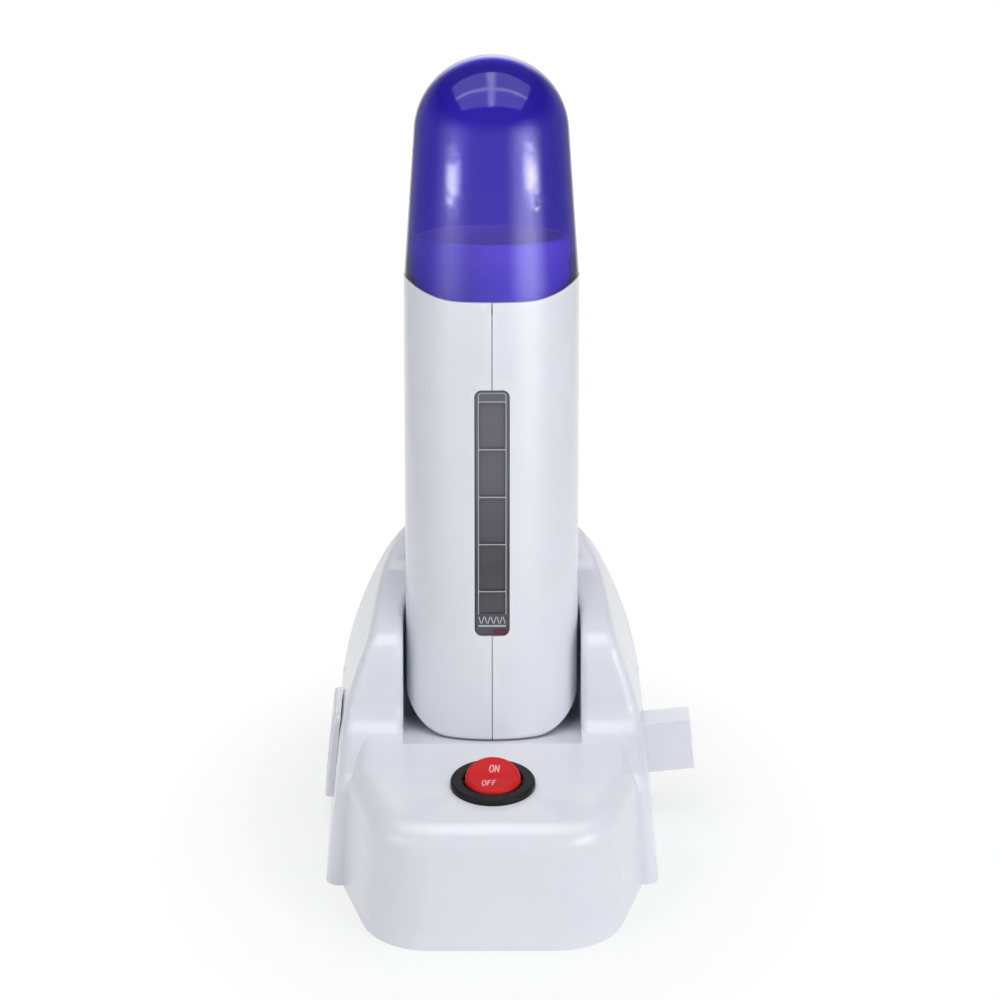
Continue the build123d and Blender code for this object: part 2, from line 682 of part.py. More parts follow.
live_route = [
    on_inlet(LINK_PIN_OFFSET, -10),
    on_inlet(LINK_PIN_OFFSET, -17),
    (19, 16, 18),
    (-17, 16, 18),
    on_socket(LINK_PIN_OFFSET, -20),
    on_socket(LINK_PIN_OFFSET, -13.5),
]
neutral_route = [
    on_inlet(-LINK_PIN_OFFSET, -10),
    on_inlet(-LINK_PIN_OFFSET, -17),
    (15, 12, 9.5),
    (-14, 12, 9.5),
    on_socket(-LINK_PIN_OFFSET, -20),
    on_socket(-LINK_PIN_OFFSET, -13.5),
]
to_switch_route = [
    (20, 3, 14),
    (13, -8, 11),
    (8, -24, 6.5),
    (0, SWITCH_Y, 6.5),
    (0, SWITCH_Y, TERMINAL_LOW_Z),
]
from_switch_route = [
    (0, terminal_y, TERMINAL_LOW_Z),
    (0, terminal_y, 6),
    (-13, -36, 6),
    (-15, -8, 8),
    on_grip(-3, -2, -21),
    on_grip(DOCK_PIN_X, 0, -19.5),
    on_grip(DOCK_PIN_X, 0, DOCK_PIN_LOW_S),
]
dock_neutral_route = [
    (-20, 10, 9),
    (-17, 5, 15),
    on_grip(-DOCK_PIN_X, 0, -17.5),
    on_grip(-DOCK_PIN_X, 0, DOCK_PIN_LOW_S),
]
save(lead(live_route), "bus_lead_live")
save(lead(neutral_route), "bus_lead_neutral")
save(lead(to_switch_route), "lead_to_switch")
save(lead(from_switch_route), "lead_from_switch")
save(lead(dock_neutral_route), "lead_dock_neutral")

# ---------------------------------------------------------------- handpiece shells

with BuildSketch() as joint_cutter:
    # Everything below the joint of cap and shells
    with BuildLine():
        flat = Line((0, SEAM_S), (SEAM_FLAT, SEAM_S))
        bend = CenterArc((SEAM_FLAT, SEAM_S + SEAM_R), SEAM_R, -90, 60)
        beside_x = GRIP_HALF_W + 8
        Polyline(bend @ 1, (beside_x, (bend @ 1).Y), (beside_x, -8), (0, -8), (0, SEAM_S))
    make_face()
    mirror(about=Plane.YZ)

with BuildSketch() as corner_outline:
    outline_half_w = GRIP_HALF_W + GRIP_CORNER_SPREAD
    with Locations((0, 100)):
        Rectangle(2 * outline_half_w, 200)
    fillet(corner_outline.vertices().group_by(Axis.Y)[0], GRIP_CORNER_R)

with BuildSketch() as hollow_outline:
    with Locations((0, 100 + SHELL_WALL)):
        Rectangle(2 * (outline_half_w - SHELL_WALL), 200)
    fillet(hollow_outline.vertices().group_by(Axis.Y)[0], GRIP_CORNER_R - SHELL_WALL)

with BuildPart() as grip_hollow:
    with BuildSketch(grip):
        Ellipse(GRIP_HALF_W - SHELL_WALL, (GRIP_HALF_W - SHELL_WALL) * OVAL)
    extrude(amount=150)
    with BuildSketch(grip_front):
        add(hollow_outline.sketch)
    extrude(amount=30, both=True, mode=Mode.INTERSECT)

window_mid_s = (WINDOW_LOW_S + WINDOW_HIGH_S) / 2
window_h = WINDOW_HIGH_S - WINDOW_LOW_S
recess_roof = RECESS_S + 1.8
screw_at = (SHELL_SCREW_BACK, SHELL_SCREW_S)

with BuildPart() as grip_shells:
    with BuildSketch(grip):
        Ellipse(GRIP_HALF_W, GRIP_HALF_W * OVAL)
    extrude(amount=150)
    with BuildSketch(grip_front):
        add(corner_outline.sketch)
    extrude(amount=30, both=True, mode=Mode.INTERSECT)
    fillet(grip_shells.edges().group_by(Axis((0, 0, 0), grip.z_dir))[0], GRIP_EDGE_R)
    with BuildSketch(grip_front):
        add(joint_cutter.sketch)
    extrude(amount=30, both=True, mode=Mode.INTERSECT)
    add(grip_hollow.part, mode=Mode.SUBTRACT)
    # Recess that drops over the dock
    with BuildSketch(grip.offset(SHELL_WALL - 0.5)):
        Rectangle(DOCK_W + 2 * RECESS_GAP + 3.6, DOCK_D + 2 * RECESS_GAP + 3.6)
    extrude(amount=recess_roof - SHELL_WALL + 0.5)
    with BuildSketch(grip.offset(-2)):
        RectangleRounded(DOCK_W + 2 * RECESS_GAP, DOCK_D + 2 * RECESS_GAP, 2.2)
    extrude(amount=RECESS_S + 2, mode=Mode.SUBTRACT)
    with BuildSketch(grip.offset(RECESS_S - 1)):
        with Locations((-DOCK_PIN_X, 0), (DOCK_PIN_X, 0)):
            Circle(SLEEVE_R + 0.4)
    extrude(amount=4, mode=Mode.SUBTRACT)
    # Screw boss across the two halves, and the screw's hole from the right
    with BuildSketch(grip_side.offset(-12)):
        with Locations(screw_at):
            Circle(3)
    extrude(amount=28)
    with BuildSketch(grip_side.offset(-10)):
        with Locations(screw_at):
            Circle(PILOT_R)
    extrude(amount=40, mode=Mode.SUBTRACT)
    with BuildSketch(grip_side.offset(SHELL_SCREW_HEAD_X)):
        with Locations(screw_at):
            Circle(2.7)
    extrude(amount=20, mode=Mode.SUBTRACT)
    # Window
    with BuildSketch(grip_front.offset(10)):
        with Locations((0, window_mid_s)):
            RectangleRounded(WINDOW_W, window_h, WINDOW_R)
    extrude(amount=20, mode=Mode.SUBTRACT)

with BuildPart() as parting_groove:
    # A thin skin along the joint of the halves, at the front, the back and the bottom
    with BuildSketch(grip_side.offset(-PARTING_GROOVE_W / 2)):
        with Locations((0, 60)):
            Rectangle(80, 160)
            inner_d = 2 * (GRIP_HALF_W * OVAL - PARTING_GROOVE_D)
            Rectangle(inner_d, 120 - 2 * PARTING_GROOVE_D, mode=Mode.SUBTRACT)
    extrude(amount=PARTING_GROOVE_W)

with BuildPart() as shell_left:
    add(grip_shells.part)
    add(parting_groove.part, mode=Mode.SUBTRACT)
    split(bisect_by=Plane.YZ, keep=Keep.BOTTOM)
save(shell_left.part, "shell_left")

with BuildPart() as shell_right:
    add(grip_shells.part)
    add(parting_groove.part, mode=Mode.SUBTRACT)
    split(bisect_by=Plane.YZ, keep=Keep.TOP)
save(shell_right.part, "shell_right")

with BuildPart() as shell_screw:
    with BuildSketch(grip_side.offset(-8)):
        with Locations(screw_at):
            Circle(SCREW_SHANK_R)
    extrude(amount=SHELL_SCREW_HEAD_X + 8)
    with BuildSketch(grip_side.offset(SHELL_SCREW_HEAD_X)):
        with Locations(screw_at):
            Circle(2.5)
    extrude(amount=1.8)
    with BuildSketch(grip_side.offset(SHELL_SCREW_HEAD_X + 1.1)):
        with Locations(screw_at):
            Rectangle(3.2, 0.7)
            Rectangle(0.7, 3.2)
    extrude(amount=2, mode=Mode.SUBTRACT)
save(shell_screw.part, "shell_screw")

with BuildPart() as neck_collar:
    with BuildSketch(grip.offset(NECK_FOOT_S)):
        Ellipse(NECK_HALF_W, NECK_HALF_W * OVAL)
    extrude(amount=NECK_TOP_S - NECK_FOOT_S)
    fillet(neck_collar.edges().group_by(Axis((0, 0, 0), grip.z_dir))[-1], 0.8)
    with BuildSketch(grip.offset(NECK_TOP_S - 5)):
        Ellipse(NECK_HALF_W + 0.15, (NECK_HALF_W + 0.15) * OVAL)
    extrude(amount=1.4)
    with BuildSketch(grip.offset(NECK_FOOT_S)):
        Ellipse(NECK_HALF_W - NECK_WALL, (NECK_HALF_W - NECK_WALL) * OVAL)
    extrude(amount=NECK_TOP_S - NECK_FOOT_S + 2, mode=Mode.SUBTRACT)
save(neck_collar.part, "neck_collar")

with BuildPart() as window_lens:
    with BuildSketch(grip_front.offset(LENS_BACK)):
        with Locations((0, window_mid_s)):
            RectangleRounded(WINDOW_W - 2 * LENS_GAP, window_h - 2 * LENS_GAP, WINDOW_R - LENS_GAP)
    extrude(amount=LENS_FRONT - LENS_BACK)
    fillet(window_lens.faces().sort_by(Axis((0, 0, 0), grip_front.z_dir))[-1].edges(), 0.3)
    with BuildSketch(grip_front.offset(LENS_BACK)):
        with Locations((0, window_mid_s)):
            RectangleRounded(WINDOW_W + 2.8, window_h + 2.8, WINDOW_R + 1.4)
    extrude(amount=LENS_FLANGE - LENS_BACK)
    with BuildSketch(grip_front.offset(LENS_FRONT - PANE_DEPTH)):
        for high, low in zip(RIBS_S, RIBS_S[1:]):
            with Locations((0, (high + low) / 2)):
                RectangleRounded(PANE_W, high - low - RIB_W, 1.0)
    extrude(amount=PANE_DEPTH + 1, mode=Mode.SUBTRACT)
save(window_lens.part, "window_lens")

# ---------------------------------------------------------------- heating well and its parts

well_slot_h = WINDOW_HIGH_S - WELL_LOW_S - 2
saddle_rear = WELL_SHIFT + WELL_HALF_D + 0.7
clip_arm_x = HEATER_W / 2 + 0.4
clip_arm_y = saddle_rear + 0.55

with BuildPart() as cartridge_well:
    with BuildSketch(grip.offset(WELL_LOW_S)):
        with Locations((0, WELL_SHIFT)):
            Ellipse(WELL_HALF_W, WELL_HALF_D)
    extrude(amount=WELL_TOP_S - WELL_LOW_S)
    with BuildSketch(grip.offset(WELL_LOW_S + WELL_WALL)):
        with Locations((0, WELL_SHIFT)):
            Ellipse(WELL_HALF_W - WELL_WALL, WELL_HALF_D - WELL_WALL)
    extrude(amount=WELL_TOP_S, mode=Mode.SUBTRACT)
    # The slot that lets the wax level be seen
    with BuildSketch(grip_front.offset(5)):
        with Locations((0, WINDOW_HIGH_S - well_slot_h / 2)):
            RectangleRounded(WINDOW_W, well_slot_h, WINDOW_R)
    extrude(amount=20, mode=Mode.SUBTRACT)
save(cartridge_well.part, "cartridge_well")

with BuildPart() as heater_saddle:
    with BuildSketch(grip.offset(HEATER_LOW_S)):
        with Locations((0, saddle_rear - SADDLE_T / 2)):
            Rectangle(HEATER_W, SADDLE_T)
        with Locations((0, WELL_SHIFT)):
            Ellipse(WELL_HALF_W, WELL_HALF_D, mode=Mode.SUBTRACT)
    extrude(amount=HEATER_H)
save(heater_saddle.part, "heater_saddle")

with BuildPart() as ptc_heater:
    with BuildSketch(grip.offset(HEATER_LOW_S + 2)):
        with Locations((0, saddle_rear + HEATER_T / 2)):
            Rectangle(HEATER_W - 2, HEATER_T)
    extrude(amount=HEATER_H - 4)
save(ptc_heater.part, "ptc_heater")

with BuildPart() as heater_clip:
    with BuildSketch(grip.offset(HEATER_LOW_S + 8)):
        with Locations((0, saddle_rear + HEATER_T + CLIP_T / 2)):
            Rectangle(HEATER_W + 1.4, CLIP_T)
        with Locations((-clip_arm_x, clip_arm_y), (clip_arm_x, clip_arm_y)):
            Rectangle(0.6, 3.4)
    extrude(amount=HEATER_H - 16)
save(heater_clip.part, "heater_clip")

# Thermostat and fuse lie against the sloping back of the well, one on each side of the heater
sensor_sin = math.sin(math.radians(SENSOR_SLOPE))
sensor_cos = math.cos(math.radians(SENSOR_SLOPE))
thermostat_x = SENSOR_X + THERMOSTAT_OFF * sensor_sin
thermostat_at = on_grip(thermostat_x, SENSOR_BACK + THERMOSTAT_OFF * sensor_cos, SENSOR_S)
fuse_x = -SENSOR_X - FUSE_OFF * sensor_sin
fuse_at = on_grip(fuse_x, SENSOR_BACK + FUSE_OFF * sensor_cos, SENSOR_S)
sensor_dir = grip.x_dir * sensor_cos - grip.y_dir * sensor_sin

with BuildPart() as thermostat:
    with BuildSketch(Plane(origin=thermostat_at, x_dir=sensor_dir, z_dir=grip.z_dir)):
        RectangleRounded(6.6, 3.3, 0.6)
    extrude(amount=17)
save(thermostat.part, "thermostat")

with BuildPart() as thermal_fuse:
    with BuildSketch(Plane(origin=fuse_at, x_dir=grip.x_dir, z_dir=grip.z_dir)):
        Circle(1.6)
    extrude(amount=11)
    fillet(thermal_fuse.edges().group_by(Axis((0, 0, 0), grip.z_dir))[-1], 0.6)
save(thermal_fuse.part, "thermal_fuse")

# ---------------------------------------------------------------- handpiece contacts, lamp and leads

carrier_low = recess_roof + 0.1
with BuildPart() as contact_carrier:
    with BuildSketch(grip.offset(carrier_low)):
        RectangleRounded(DOCK_W - 2, DOCK_D - 1, 1.5)
    extrude(amount=5)
    with BuildSketch(grip.offset(carrier_low - 1)):
        with Locations((-DOCK_PIN_X, 0), (DOCK_PIN_X, 0)):
            Circle(SLEEVE_R)
    extrude(amount=8, mode=Mode.SUBTRACT)
save(contact_carrier.part, "contact_carrier")

with BuildPart() as contact_sleeves:
    with BuildSketch(grip.offset(RECESS_S + 0.3)):
        with Locations((-DOCK_PIN_X, 0), (DOCK_PIN_X, 0)):
            Circle(SLEEVE_R)
    extrude(amount=9.5)
    with BuildSketch(grip.offset(RECESS_S)):
        with Locations((-DOCK_PIN_X, 0), (DOCK_PIN_X, 0)):
            Circle(SLEEVE_BORE_R)
    extrude(amount=7, mode=Mode.SUBTRACT)
save(contact_sleeves.part, "contact_sleeves")

with BuildPart() as lamp_board:
    with BuildSketch(grip_front.offset(BOARD_DEPTH)):
        with Locations((0, 26.5)):
            Rectangle(20, 12)
    extrude(amount=BOARD_T)
save(lamp_board.part, "lamp_board")

with BuildPart() as indicator_lamp:
    with BuildSketch(grip_front.offset(BOARD_DEPTH + BOARD_T)):
        with Locations((LAMP_X, LAMP_S)):
            RectangleRounded(4.4, 3.0, 0.6)
    extrude(amount=2.3)
    fillet(indicator_lamp.faces().sort_by(Axis((0, 0, 0), grip_front.z_dir))[-1].edges(), 0.5)
save(indicator_lamp.part, "indicator_lamp")

with BuildPart() as lamp_resistor:
    with BuildSketch(grip_side.offset(-8)):
        with Locations((-BOARD_DEPTH - BOARD_T - 1.1, 23.5)):
            Circle(1.1)
    extrude(amount=6.3)
    fillet(lamp_resistor.edges().filter_by(GeomType.CIRCLE), 0.4)
save(lamp_resistor.part, "lamp_resistor")

sleeve_end_s = RECESS_S + 9.8
fuse_lead_route = [
    on_grip(-DOCK_PIN_X, 0, sleeve_end_s),
    on_grip(-DOCK_PIN_X, 0, 23),
    on_grip(-11, 13, 31),
    on_grip(-11, 13, 46),
    fuse_at,
]
thermostat_lead_route = [
    on_grip(DOCK_PIN_X, 0, sleeve_end_s),
    on_grip(DOCK_PIN_X, 0, 23),
    on_grip(11, 13, 31),
    on_grip(11, 13, 46),
    thermostat_at,
]
save(lead(fuse_lead_route), "lead_to_fuse")
save(lead(thermostat_lead_route), "lead_to_thermostat")

# ---------------------------------------------------------------- cap

cap_tan = math.tan(math.radians(CAP_TAPER))


def cap_solid(inset):
    """Solid oval bullet, or with an inset the space inside it. Its Z is the column's axis."""
    dome_r = DOME_R - inset
    join_r = dome_r * math.cos(math.radians(CAP_TAPER))
    join_s = DOME_S + dome_r * math.sin(math.radians(CAP_TAPER))
    straight_r = NECK_HALF_W + CAP_SLIDE if inset else GRIP_HALF_W
    straight_top = join_s - (straight_r - join_r) / cap_tan
    with BuildPart() as bullet:
        with BuildSketch(Plane.XZ):
            with BuildLine():
                dome = CenterArc((0, DOME_S), dome_r, CAP_TAPER, 90 - CAP_TAPER)
                Polyline(dome @ 0, (straight_r, straight_top), (straight_r, 100), (0, 100), dome @ 1)
            make_face()
        revolve(axis=Axis.Z)
        scale(by=(1, OVAL, 1))
    return bullet.part


cap_outside = grip.location * cap_solid(0)
cap_inside = grip.location * cap_solid(CAP_WALL)

with BuildPart() as cap:
    add(cap_outside)
    add(cap_inside, mode=Mode.SUBTRACT)
    with BuildSketch(grip_front):
        with Locations((0, SEAM_GAP)):
            add(joint_cutter.sketch)
    extrude(amount=40, both=True, mode=Mode.SUBTRACT)
save(cap.part, "cap")
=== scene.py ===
import json
import math

import bmesh
import bpy
from mathutils import Matrix, Quaternion, Vector
from mathutils.bvhtree import BVHTree


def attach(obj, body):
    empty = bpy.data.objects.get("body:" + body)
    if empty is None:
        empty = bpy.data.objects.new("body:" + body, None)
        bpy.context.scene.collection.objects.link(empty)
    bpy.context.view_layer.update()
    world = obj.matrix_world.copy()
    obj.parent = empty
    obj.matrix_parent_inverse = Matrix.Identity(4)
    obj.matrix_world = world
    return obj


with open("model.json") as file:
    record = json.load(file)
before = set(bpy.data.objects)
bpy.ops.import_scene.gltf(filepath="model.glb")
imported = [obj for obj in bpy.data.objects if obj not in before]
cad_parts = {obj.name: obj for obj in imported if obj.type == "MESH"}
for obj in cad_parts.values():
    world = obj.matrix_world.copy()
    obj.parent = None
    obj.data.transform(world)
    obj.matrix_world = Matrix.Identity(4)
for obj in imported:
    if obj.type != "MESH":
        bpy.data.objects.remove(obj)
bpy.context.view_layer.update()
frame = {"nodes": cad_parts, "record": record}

MM = 0.001

# ------------------------------------------------------------------ camera, in metres

PHOTO_PX = 1000
FOCAL_PX = 3700
SENSOR_MM = 36
CAMERA_NEAR = 0.05
CAMERA_FAR = 20
CAMERA_DISTANCE = 1.0
CAMERA_ELEVATION = math.radians(25.4)
CAMERA_AZIMUTH = math.radians(0.5)
CAMERA_ROLL = math.radians(0.1)
CAMERA_TARGET = Vector((0.0021, 0, 0.105))

# ------------------------------------------------------------------ the leaning column and its window

LEAN = math.radians(12)
COLUMN_FOOT = Vector((0, 0.010, 0.0319))
COLUMN_UP = Vector((0, math.sin(LEAN), math.cos(LEAN)))
COLUMN_FRONT = Vector((0, -math.cos(LEAN), math.sin(LEAN)))
COLUMN_RIGHT = Vector((1, 0, 0))
LENS_FACE = 19.3 * MM  # in front of the column's axis
WINDOW_HEIGHTS = (0.066, 0.131)  # about how high its two ends are above the ground

# Places on the window are to the right of the axis, and up the column from its foot
LINE_WIDTH = 0.24 * MM
RAIL_LEFT = -3.72 * MM
RAIL_RIGHT = 3.78 * MM
RAIL_LOW = 35.9 * MM
RAIL_HIGH = 97.7 * MM
RAIL_CORNER = 0.9 * MM
RAIL_RISE = 0.06 * MM
RUNG_COUNT = 5
RUNG_TOP = 95.3 * MM
RUNG_STEP = 13.25 * MM
RUNG_RISE = 0.05 * MM

HATCH_COUNT = 9
HATCH_START = RAIL_LEFT + 0.35 * MM
HATCH_STEP = 0.83 * MM
HATCH_SLANT = 0.55 * MM
HATCH_LOW = 33.3 * MM
HATCH_HIGH = 35.2 * MM
HATCH_WIDTH = 0.26 * MM
HATCH_RISE = 0.05 * MM
UNDERLINE_UP = 32.6 * MM
UNDERLINE_WIDTH = 0.5 * MM
UNDERLINE_RISE = 0.04 * MM

PATCH_LEFT = 0.2 * MM
PATCH_RIGHT = 4.35 * MM
PATCH_LOW = 30.25 * MM
PATCH_HIGH = 31.8 * MM
PATCH_MIDDLE = 2.2 * MM
PATCH_CORNER = 0.55 * MM
PATCH_INSET = 0.15 * MM
PATCH_RISE = 0.06 * MM

# ------------------------------------------------------------------ the rocker and its letters

ROCKER_CENTRE = Vector((0, -34 * MM, 36.4 * MM))
ROCKER_UP = Vector((0, -math.sin(LEAN), math.cos(LEAN)))
ROCKER_REAR = Vector((0, math.cos(LEAN), math.sin(LEAN)))
ABOVE_ROCKER = 10 * MM

STROKE_WIDTH = 0.34 * MM
STROKE_RISE = 0.035 * MM
STROKE_STEP = 0.3 * MM
LETTER_SLANT = 0.12  # to the right for each step to the rear
OVAL_STEPS = 28

# Straight strokes in a square that runs from -0.5 to 0.5 each way; any other letter is an oval
STROKES = {
    "N": (((-0.5, -0.5), (-0.5, 0.5)), ((-0.5, 0.5), (0.5, -0.5)), ((0.5, -0.5), (0.5, 0.5))),
    "F": (((-0.5, -0.5), (-0.5, 0.5)), ((-0.5, 0.5), (0.5, 0.5)), ((-0.5, 0.05), (0.3, 0.05))),
}

# Each word, in millimetres: how far to the rear it is, its height, and each letter's middle and width
WORDS = (
    (2.55, 2.5, (("O", -0.30, 1.05), ("N", 1.15, 0.95))),
    (-3.3, 2.4, (("O", -2.35, 1.0), ("F", -0.95, 0.8), ("F", 0.35, 0.8))),
)

# A raised line's profile: across it in half widths, and up in heights, from just under the face
BEAD = ((-1, -0.8), (-1, 0.3), (-0.5, 1), (0.5, 1), (1, 0.3), (1, -0.8))

# A pad's layers: how much of its inset they have, and how high they are in heights
SLAB = ((0, -0.8), (0, 0.4), (1, 1))

# ------------------------------------------------------------------ stage and lamps

ROOM_LIGHT = 0.25
HORIZON = (0.10, 0.45)  # reflections see white fade to ROOM_LIGHT as their direction's Z goes over this

FLOOR_HALF = 6
FLOOR_SHARE = 0.66  # how much of the floor near the object is plain white to the camera
FLOOR_FADE = (0.075, 0.120)  # the rest turns white too between these distances from the origin
FLOOR_STRETCH = (1.25, 1.0, 1.0)  # distances count for more to the sides

# Two dark cards beside the object: the place of the right one's middle, and half its depth and height
CARD_PLACE = Vector((0.28, 0.25, 0.15))
CARD_HALF_D = 0.45
CARD_HALF_H = 0.40
CARD_CORNERS = ((-1, -1), (1, -1), (1, 1), (-1, 1))
CARD_GREY = 0.03
CARD_SHARE = 0.5  # how much of what is behind it a card's middle hides

TUBE_HALF = 0.07  # of a softbox's width or height

# Softboxes, in metres and watts. A margin is the share of the width and height that fades at each edge, a
# cross is how much brighter the two tubes are, and a roll is in degrees about the line to the aim.
OBJECT_MIDDLE = (0, 0, 0.10)
CAP_MIDDLE = (0, 0.04, 0.18)
WIDE = (1.2, 0.9)
STRIP = (0.374, 0.030)
LAMPS = {
    "top": dict(place=(0.0, -0.13, 0.80), aim=(0, -0.10, 0.0), size=(1.25, 0.75), power=3.4,
                margin=0.05, cross=2.6),
    "key": dict(place=(0.75, -0.72, 0.26), aim=OBJECT_MIDDLE, size=WIDE, power=14.2),
    "fill": dict(place=(-0.80, -0.60, 0.26), aim=OBJECT_MIDDLE, size=WIDE, power=5.0),
    "rear": dict(place=(0.0, 1.05, 0.45), aim=OBJECT_MIDDLE, size=(1.2, 0.8), power=6.0),
    "right_lamp": dict(place=(0.52, -0.38, 0.2495), aim=CAP_MIDDLE, size=STRIP, power=0.68, roll=-11),
    "left_lamp": dict(place=(-0.51, -0.39, 0.2495), aim=CAP_MIDDLE, size=STRIP, power=0.57, roll=10),
}

# ------------------------------------------------------------------ node helpers


class Tree:
    """A short way to write the node tree of a material, a lamp or the world."""

    def __init__(self, tree):
        self.tree = tree

    def add(self, kind, **props):
        node = self.tree.nodes.new(kind)
        for key, value in props.items():
            setattr(node, key, value)
        return node

    def link(self, source, target):
        self.tree.links.new(source, target)

    def feed(self, socket, value):
        """The value is another socket, a number, or a colour's three values."""
        if isinstance(value, bpy.types.NodeSocket):
            self.link(value, socket)
        elif isinstance(value, (int, float)):
            socket.default_value = value
        else:
            socket.default_value = (*value, 1)

    def rays(self, *kinds):
        """One for rays of any of these kinds, and zero for all others."""
        path = self.add("ShaderNodeLightPath")
        total = path.outputs[kinds[0]]
        for kind in kinds[1:]:
            total = self.math("MAXIMUM", total, path.outputs[kind])
        return total

    def split(self, vector):
        """The X, Y and Z of a vector."""
        node = self.add("ShaderNodeSeparateXYZ")
        self.link(vector, node.inputs["Vector"])
        return node.outputs

    def math(self, operation, a, b=0.0):
        node = self.add("ShaderNodeMath", operation=operation)
        self.feed(node.inputs[0], a)
        self.feed(node.inputs[1], b)
        return node.outputs["Value"]

    def value_range(self, value, low, high, from_low=0.25, from_high=0.75, smooth=False):
        """From low to high as the value crosses its own range, and level beyond that."""
        kind = "SMOOTHSTEP" if smooth else "LINEAR"
        node = self.add("ShaderNodeMapRange", interpolation_type=kind)
        self.feed(node.inputs["Value"], value)
        self.feed(node.inputs["From Min"], from_low)
        self.feed(node.inputs["From Max"], from_high)
        self.feed(node.inputs["To Min"], low)
        self.feed(node.inputs["To Max"], high)
        return node.outputs["Result"]

    def choose(self, share, at_zero, at_one):
        return self.value_range(share, at_zero, at_one, from_low=0.0, from_high=1.0)

    def soft_band(self, coordinate, start, end):
        """One near the middle of a softbox, falling to zero between two distances from it."""
        away = self.math("ABSOLUTE", self.math("SUBTRACT", coordinate, 0.5))
        return self.value_range(away, 1.0, 0.0, start, end, smooth=True)

    def mix_shaders(self, share, first, second):
        """The second shader takes this share, and the first takes the rest."""
        node = self.add("ShaderNodeMixShader")
        self.link(share, node.inputs["Fac"])
        self.link(first, node.inputs[1])
        self.link(second, node.inputs[2])
        return node.outputs["Shader"]


class Finish(Tree):
    """A new material, with its one Principled shader."""

    def __init__(self, name):
        self.name = name
        self.material = bpy.data.materials.new(name)
        self.material.use_nodes = True
        super().__init__(self.material.node_tree)
        self.shader = self.tree.nodes["Principled BSDF"]
        self.output = self.tree.nodes["Material Output"]
        self.object_coord = self.add("ShaderNodeTexCoord").outputs["Object"]

    def stretched(self, scale):
        """Object coordinates, stretched by three factors."""
        mapping = self.add("ShaderNodeMapping")
        mapping.inputs["Scale"].default_value = scale
        self.link(self.object_coord, mapping.inputs["Vector"])
        return mapping.outputs["Vector"]

    def noise(self, scale, detail, rough=0.55, vector=None):
        node = self.add("ShaderNodeTexNoise")
        self.feed(node.inputs["Scale"], scale)
        self.feed(node.inputs["Detail"], detail)
        self.feed(node.inputs["Roughness"], rough)
        self.link(vector or self.object_coord, node.inputs["Vector"])
        return node.outputs["Fac"]

    def ramp(self, value, stops):
        """Stops are (position, colour) pairs; a colour is one grey or three values."""
        node = self.add("ShaderNodeValToRGB")
        elements = node.color_ramp.elements
        while len(elements) < len(stops):
            elements.new(0.5)
        for element, (position, colour) in zip(elements, stops):
            if isinstance(colour, (int, float)):
                colour = (colour,) * 3
            element.position = position
            element.color = (*colour, 1)
        self.link(value, node.inputs["Fac"])
        return node.outputs["Color"]

    def mottled(self, value, colour, dark, light):
        """The colour times dark where the value is low, and times light where it is high."""
        return self.ramp(value, ((0.3, tinted(colour, dark)), (0.7, tinted(colour, light))))

    def mix(self, share, first, second, blend="MIX"):
        """Mixes two colours; share, first and second may each be a socket or a constant."""
        node = self.add("ShaderNodeMix", data_type="RGBA", blend_type=blend)
        self.feed(node.inputs["Factor"], share)
        self.feed(node.inputs["A"], first)
        self.feed(node.inputs["B"], second)
        return node.outputs["Result"]

    def clear(self, colour=(1, 1, 1)):
        node = self.add("ShaderNodeBsdfTransparent")
        self.feed(node.inputs["Color"], colour)
        return node.outputs["BSDF"]

    def set(self, **values):
        """Gives the Principled shader's inputs values or sockets; an underscore stands for a space."""
        for key, value in values.items():
            self.feed(self.shader.inputs[key.replace("_", " ")], value)

    def roughen(self, texture, depth, strength=1.0):
        """A bump of this depth, in metres, that follows the texture."""
        node = self.add("ShaderNodeBump")
        self.feed(node.inputs["Distance"], depth)
        self.feed(node.inputs["Strength"], strength)
        self.link(texture, node.inputs["Height"])
        self.set(Normal=node.outputs["Normal"])

    def surface(self, shader):
        self.link(shader, self.output.inputs["Surface"])

    def let_light_through(self, colour):
        """Lamps shine through this plastic instead of being blocked by it.

        A colour over 1 makes up for the light that is lost on the way.
        """
        shadow = self.rays("Is Shadow Ray")
        self.surface(self.mix_shaders(shadow, self.shader.outputs["BSDF"], self.clear(colour)))

    def absorb(self, colour, density):
        """Dye inside the plastic: a longer way through it looks darker, but lamps aren't dimmed."""
        volume = self.add("ShaderNodeVolumeAbsorption")
        self.feed(volume.inputs["Color"], colour)
        seen = self.math("SUBTRACT", 1.0, self.rays("Is Shadow Ray"))
        self.feed(volume.inputs["Density"], self.math("MULTIPLY", seen, density))
        self.link(volume.outputs["Volume"], self.output.inputs["Volume"])


def tinted(colour, factor):
    return tuple(min(1.0, channel * factor) for channel in colour)


# ------------------------------------------------------------------ materials


